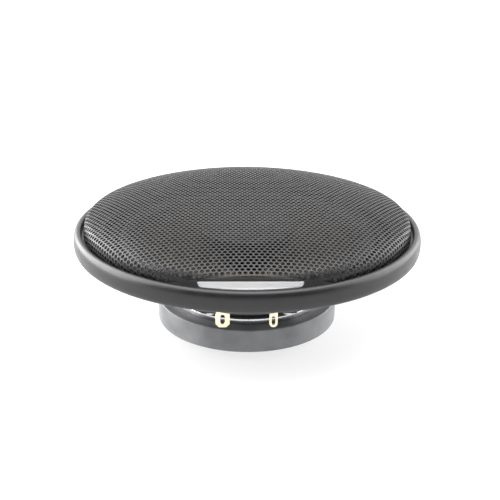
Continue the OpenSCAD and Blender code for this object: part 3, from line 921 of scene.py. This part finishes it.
def make_motor():
    """Ring magnet between the front plate and the back plate with its pole."""
    r, z0, z1 = radius("magnet"), low("magnet")[2], high("magnet")[2]
    side = r - MAGNET_EDGE
    magnet = lathe("ring_magnet", [
        (MAGNET_BORE, z0), *arc(side, z0 + MAGNET_EDGE, MAGNET_EDGE, -90, 0, 4),
        *arc(side, z1 - MAGNET_EDGE, MAGNET_EDGE, 0, 90, 4), (MAGNET_BORE, z1),
    ], 256)
    piece(magnet, "ferrite", "basket", "magnet")
    r, z0, z1 = radius("front_plate"), low("front_plate")[2], high("front_plate")[2]
    front = lathe("front_plate_turned", [
        (GAP_R, z0),
        *arc(r - PLATE_LOW_EDGE, z0 + PLATE_LOW_EDGE, PLATE_LOW_EDGE, -90, 0, 3),
        *arc(r - PLATE_TOP_EDGE, z1 - PLATE_TOP_EDGE, PLATE_TOP_EDGE, 0, 90, 4),
        (GAP_R, z1),
    ], 256, edge=0)
    piece(front, "plated", "basket", "front_plate")
    r, z1 = radius("yoke"), high("yoke")[2]
    plate_t = low("magnet")[2]
    yoke = lathe("back_plate_and_pole", [
        (BOLT_R, POCKET_H), (POCKET_R, POCKET_H), (POCKET_R, 0.0), (r - YOKE_EDGE, 0.0),
        *arc(r - YOKE_EDGE, YOKE_EDGE, YOKE_EDGE, -90, 0, 6), (r, plate_t), (POLE_R, plate_t),
        (POLE_R, z1 - POLE_CHAMFER), (POLE_R - POLE_CHAMFER, z1), (BOLT_R, z1),
    ], 192, edge=0.1)
    piece(yoke, "plated", "basket", "yoke")


make_motor()


# ---------- terminals ----------

BLADE_T = 0.8
BLADE_CUT = 1.2
LUG_HALF_W = 1.1
LUG_CORNER = 0.3
LUG_EYE_R = 0.5
LUG_EYE_DROP = 1
RIVET_R = 0.9
RIVET_ROUND = 0.4
RIVET_BEHIND = 1.2
FOOT_GAP = 0.3


def make_tab(name, node, slot_low, slot_high, slot_r, end):
    """Upright slotted blade with a solder lug above it and a riveted foot on the board."""
    x0, x1 = low(node)[0], high(node)[0]
    y_front = low(node)[1]
    bottom, top = low(node)[2], high(node)[2]
    board_top = high("terminal_board")[2]
    t, lug = BLADE_T, LUG_HALF_W
    cx, half = (x0 + x1) / 2, (x1 - x0) / 2
    outline = [(-lug, top - LUG_CORNER), (-lug, board_top), (-half, board_top)]
    outline += end(half, bottom)
    outline += [
        (half, board_top), (lug, board_top), (lug, top - LUG_CORNER), (lug - LUG_CORNER, top),
        (-lug + LUG_CORNER, top),
    ]
    slot = circle(0, slot_low, slot_r, 12, 180, 360) + circle(0, slot_high, slot_r, 12, 0, 180)
    eye = circle(0, top - LUG_EYE_DROP, LUG_EYE_R, 16)
    blade = plate(name + "_blade", outline, [slot, eye], t,
                  lambda x, y, d: (cx + x, y_front + t / 2 - d, y), 0.1)
    foot_l = high(node)[1] - y_front - FOOT_GAP
    foot = plate(name + "_foot", [(-lug, 0), (lug, 0), (lug, foot_l), (-lug, foot_l)], [], t,
                 lambda x, y, d: (cx + x, y_front + FOOT_GAP + y, board_top + t / 2 + d), 0.1)
    rivet_low = board_top + t
    rivet = lathe(name + "_rivet", [
        (0, rivet_low), (RIVET_R, rivet_low),
        *arc(RIVET_R - RIVET_ROUND, rivet_low, RIVET_ROUND, 0, 90, 4),
        (0, rivet_low + RIVET_ROUND)], 24, (cx, y_front + t + RIVET_BEHIND), 0)
    return join(name, [blade, foot, rivet])


def cut_end(half, bottom):
    return [
        (-half, bottom + BLADE_CUT), (-half + BLADE_CUT, bottom), (half - BLADE_CUT, bottom),
        (half, bottom + BLADE_CUT),
    ]


def round_end(half, bottom):
    return circle(0, bottom + half, half, 12, 180, 360)


blade_low = low("positive_tab")[2]
piece(make_tab("wide_blade", "positive_tab", blade_low + 2.05, blade_low + 3.85, 0.75, cut_end),
      "gold", "basket", "positive_tab")
piece(make_tab("narrow_blade", "negative_tab", blade_low + 1.6, blade_low + 3.4, 0.6, round_end),
      "gold", "basket", "negative_tab")


# ---------- cone, surround, spider, gasket ----------

CONE_T = 0.7
CONE_R = radius("cone")
CONE_EDGE_Z = high("cone")[2]
NECK_R = radius("voice_coil_former")
NECK_Z = 22.9
LAP = 1.6
CONE_STEPS = 24
SEAM = 0.02


def make_cone():
    """Straight-sided cone with a flat outer edge for the surround."""
    flat = CONE_R - LAP
    line = [(NECK_R, NECK_Z + CONE_T)]
    climb = CONE_EDGE_Z - NECK_Z - CONE_T
    for i in range(1, CONE_STEPS + 1):
        t = i / CONE_STEPS
        line.append((NECK_R + (flat - NECK_R) * t, NECK_Z + CONE_T + climb * t))
    line.append((CONE_R, CONE_EDGE_Z))
    return shell("paper_cone", line, CONE_T - SEAM, 192)


def half_roll(r0, r1, z, height, steps=16):
    """Half-round roll from radius r0 to r1."""
    return [
        ((r0 + r1) / 2 - (r1 - r0) / 2 * math.cos(math.pi * i / steps),
         z + height * math.sin(math.pi * i / steps))
        for i in range(steps + 1)
    ]


ROLL_R = 2.8
RIM_R = radius("surround")
SURROUND_T = 0.5
GLUE_W = 0.8


def make_surround():
    top = CONE_EDGE_Z + SURROUND_T
    roll_out_r = CONE_R + 2 * ROLL_R
    line = [(CONE_R - LAP, top), (CONE_R - GLUE_W, top)]
    line += half_roll(CONE_R, roll_out_r, top, ROLL_R)
    line += [(roll_out_r + GLUE_W, top), (RIM_R, top)]
    return shell("rubber_surround", line, SURROUND_T - SEAM, 192)


SPIDER_TOP = 21.5 + 0.45
SPIDER_T = 0.4
WAVE_H = 0.9
WAVE_PITCH = 4.2
WAVE_START_R = 14.2
WAVE_END_R = WAVE_START_R + 4 * WAVE_PITCH
SPIDER_STEPS = 100


def make_spider():
    """Corrugated cloth disc: four waves between the coil and the ledge."""
    line = []
    for i in range(SPIDER_STEPS + 1):
        r = NECK_R + (radius("spider") - NECK_R) * i / SPIDER_STEPS
        lift = 0.0
        if WAVE_START_R < r < WAVE_END_R:
            lift = WAVE_H * math.sin(2 * math.pi * (r - WAVE_START_R) / WAVE_PITCH)
        line.append((r, SPIDER_TOP + lift))
    return shell("corrugated_spider", line, SPIDER_T, 160)


def weigh(obj, place, start, end):
    """Body shares: the first body's up to start, the second's from end, smooth between."""
    weights = obj.data.attributes["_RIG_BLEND"].data
    for vertex, weight in zip(obj.data.vertices, weights):
        t = (place(vertex.co) / MM - start) / (end - start)
        t = min(max(t, 0.0), 1.0)
        weight.value = t * t * (3 - 2 * t)


def bend_radially(obj, a, b, r_start, r_end):
    """Points follow body a inside r_start and body b outside r_end, with a smooth turn between."""
    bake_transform(obj, a, b, start=(r_start * MM, 0, 0), end=(r_end * MM, 0, 0))
    weigh(obj, lambda co: math.hypot(co.x, co.y), r_start, r_end)


def stands_for(obj, look, *nodes):
    """A made piece that rides on no body: its material and the CAD nodes it stands for; its bend between two
    bodies is set up afterwards.
    """
    dress(obj, look)
    take_place(obj, *nodes)


piece(make_cone(), "paper", "cone", "cone")
surround = make_surround()
stands_for(surround, "rubber", "surround")
bend_radially(surround, "cone", "basket", CONE_R, CONE_R + 2 * ROLL_R)
spider = make_spider()
stands_for(spider, "cloth", "spider")
bend_radially(spider, "cone", "basket", NECK_R + 1.2, 31.0)

GASKET_IN_R = 47.2
GASKET_OUT_R = radius("surround_gasket")
gasket_low, gasket_top = low("surround_gasket")[2], high("surround_gasket")[2]
gasket = lathe("foam_gasket", [
    (GASKET_IN_R, gasket_low), (GASKET_OUT_R, gasket_low), (GASKET_OUT_R, gasket_top - 0.2),
    (GASKET_OUT_R - 0.4, gasket_top), (GASKET_IN_R + 0.4, gasket_top), (GASKET_IN_R, gasket_top - 0.2),
], 192)
piece(gasket, "foam", "basket", "surround_gasket")


# ---------- tweeter ----------

def make_tweeter():
    r = radius("tweeter_housing")
    z0, z1 = low("tweeter_housing")[2], high("tweeter_housing")[2]
    low_r, pocket, floor = 12.5, 10.8, low("tweeter_pot")[2]
    housing = lathe("tweeter_cup", [
        (2.0, z0), (low_r - 0.8, z0), *arc(low_r - 0.8, z0 + 0.8, 0.8, -90, -35, 4),
        *arc(r - 0.9, z1 - 1.6, 0.9, -30, 0, 4), (r, z1), (pocket, z1), (pocket, floor), (2.0, floor),
    ], 160)
    piece(housing, "plastic", "basket", "tweeter_housing")
    top = high("tweeter_bezel")[2]
    inner, horn, base = 9.5, 13.6, low("tweeter_bezel")[2]
    flare = [
        (inner + (horn - inner) * t / 8, base + 0.95 + (top - base - 0.95) * (t / 8) ** 1.7)
        for t in range(9)
    ]
    bezel = lathe("tweeter_bezel_ring", [
        (10.8, base + 0.55), (10.8, base), (r, base), *arc(r - 0.6, top - 0.6, 0.6, 0, 90, 5),
        *reversed(flare), (inner, base + 0.55),
    ], 160, edge=0.08)
    piece(bezel, "plastic", "basket", "tweeter_bezel")
    dome_r, dome_z, dome_top = radius("tweeter_dome"), low("tweeter_dome")[2], high("tweeter_dome")[2]
    rise = dome_top - dome_z
    ball = (dome_r ** 2 + rise ** 2) / (2 * rise)
    sweep = math.degrees(math.asin(dome_r / ball))
    line = arc(0, dome_top - ball, ball, 90, 90 - sweep, 16)
    line[0] = (0.0, dome_top)
    cap = lathe("silk_dome", line + [(x, z - 0.2) for x, z in reversed(line)], 96, edge=0)
    piece(cap, "silk", "tweeter_dome", "tweeter_dome")
    film_z, film = low("tweeter_suspension")[2], 0.2
    roll = half_roll(dome_r + 0.1, 9.3, film_z + film, 0.95, 12)
    ring = shell("dome_suspension", roll + [(9.6, film_z + film), (10.6, film_z + film)], film - 0.02, 96)
    stands_for(ring, "film", "tweeter_suspension")
    bend_radially(ring, "tweeter_dome", "basket", dome_r + 0.2, 9.2)


make_tweeter()


# ---------- leads ----------

LEAD_R = 0.45
EYELET = (6.5, -22.0)
LUG_TOP = high("positive_tab")[2]
LEAD_Y = low("positive_tab")[1] + BLADE_T + LEAD_R
WIRE_R = 0.35


def make_braid(name, route, r):
    """Three strands twisted about the route."""
    strands = []
    for k in range(3):
        path = []
        for i, here in enumerate(route):
            before, after = route[max(i - 1, 0)], route[min(i + 1, len(route) - 1)]
            along = (after - before).normalized()
            side = along.cross(Vector((0, 0, 1))).normalized()
            turn = 2 * math.pi * (k / 3 + i / 7)
            path.append(here + r * 0.5 * (math.cos(turn) * side + math.sin(turn) * side.cross(along)))
        strands.append(tube_along("%s_%d" % (name, k), path, r * 0.52, 8))
    return join(name, strands)


def bend_along(obj, inner_y, outer_y):
    """Points follow the cone at inner_y and the basket at outer_y, both measured along Y."""
    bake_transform(obj, "cone", "basket", start=(0, inner_y * MM, 0), end=(0, outer_y * MM, 0))
    weigh(obj, lambda co: co.y, inner_y, outer_y)


for side, node_name in ((-1, "positive_lead"), (1, "negative_lead")):
    tab = "positive_tab" if side < 0 else "negative_tab"
    tab_x = (low(tab)[0] + high(tab)[0]) / 2
    route = bezier([
        (tab_x, LEAD_Y, LUG_TOP - 0.6), (side * 8.6, -31.5, 27.0), (side * 7.5, -27.5, 23.2),
        (side * EYELET[0], EYELET[1] - 1.2, 24.75),
    ], 56)
    braid = make_braid(node_name + "_braid", route, LEAD_R)
    stands_for(braid, "copper", node_name)
    bend_along(braid, EYELET[1] - 2.0, -34.5)

POST_TOP = high("tweeter_post")[2]
wires = []
for side in (-1, 1):
    wires.append(tube_along("wire_%d" % side, bezier([
        (side * 3, -6.6, POST_TOP - 2), (side * 3.6, -12.5, POST_TOP - 2),
        (side * 5.6, -19, POST_TOP + 1), (side * EYELET[0], EYELET[1] + 0.3, POST_TOP - 0.95),
    ], 32), WIRE_R, 10))
tweeter_wires = join("tweeter_wires", wires)
stands_for(tweeter_wires, "wire", "tweeter_leads")
bend_along(tweeter_wires, EYELET[1] + 1.0, -8.4)


# ---------- floor, backdrop and light ----------

FLOOR_HALF = 4.0
FLOOR_GLOW = 0.72
WORLD_FRONT = 0.04
WORLD_BACK = 1.45
WORLD_SEEN = 1.0


def make_floor():
    half = FLOOR_HALF
    corners = [(-half, -half, 0), (half, -half, 0), (half, half, 0), (-half, half, 0)]
    mesh = bpy.data.meshes.new("floor")
    mesh.from_pydata(corners, [], [(0, 1, 2, 3)])
    floor = link_mesh("floor", mesh)
    look = Look("floor_white", grey(0.3), 0.8, specular=0.1)
    look.vary_colour(look.noise(3, 2), 0.97, 1.0)
    look.surface.inputs["Emission Color"].default_value = (1, 1, 1, 1)
    look.surface.inputs["Emission Strength"].default_value = FLOOR_GLOW
    mesh.materials.append(look.material)


def make_world():
    """White studio all round and behind, darker on the side the camera stands on."""
    world = bpy.data.worlds.new("studio")
    bpy.context.scene.world = world
    world.use_nodes = True
    tree = world.node_tree
    nodes, links = tree.nodes, tree.links
    nodes.clear()
    where = nodes.new("ShaderNodeTexCoord")
    split = nodes.new("ShaderNodeSeparateXYZ")
    links.new(where.outputs["Generated"], split.inputs[0])
    fade = nodes.new("ShaderNodeMapRange")
    fade.interpolation_type = "SMOOTHSTEP"
    fade.inputs["From Min"].default_value = -0.7
    fade.inputs["From Max"].default_value = 0.5
    fade.inputs["To Min"].default_value = WORLD_FRONT
    fade.inputs["To Max"].default_value = WORLD_BACK
    links.new(split.outputs["Y"], fade.inputs["Value"])
    lit = nodes.new("ShaderNodeBackground")
    links.new(fade.outputs[0], lit.inputs["Strength"])
    seen = nodes.new("ShaderNodeBackground")
    seen.inputs["Strength"].default_value = WORLD_SEEN
    for background in (lit, seen):
        background.inputs["Color"].default_value = (1, 1, 1, 1)
    path = nodes.new("ShaderNodeLightPath")
    mix = nodes.new("ShaderNodeMixShader")
    links.new(path.outputs["Is Camera Ray"], mix.inputs[0])
    links.new(lit.outputs[0], mix.inputs[1])
    links.new(seen.outputs[0], mix.inputs[2])
    out = nodes.new("ShaderNodeOutputWorld")
    links.new(mix.outputs[0], out.inputs["Surface"])


def softbox(name, place, size, power):
    """Area light aimed at the middle of the speaker and not itself in the picture."""
    data = bpy.data.lights.new(name, "AREA")
    data.shape = "RECTANGLE"
    data.size, data.size_y = size
    data.energy = power
    light = bpy.data.objects.new(name, data)
    light.location = place
    aim = Vector((0, 0, 0.03)) - Vector(place)
    light.rotation_euler = aim.to_track_quat("-Z", "Y").to_euler()
    light.visible_camera = False
    bpy.context.scene.collection.objects.link(light)


make_floor()
make_world()
softbox("overhead", (0.0, 0.05, 1.2), (1.4, 1.4), 26.0)
softbox("left", (-0.95, 0.35, 0.5), (1.6, 1.1), 44.0)
softbox("right", (1.0, 0.3, 0.5), (1.6, 1.1), 22.0)
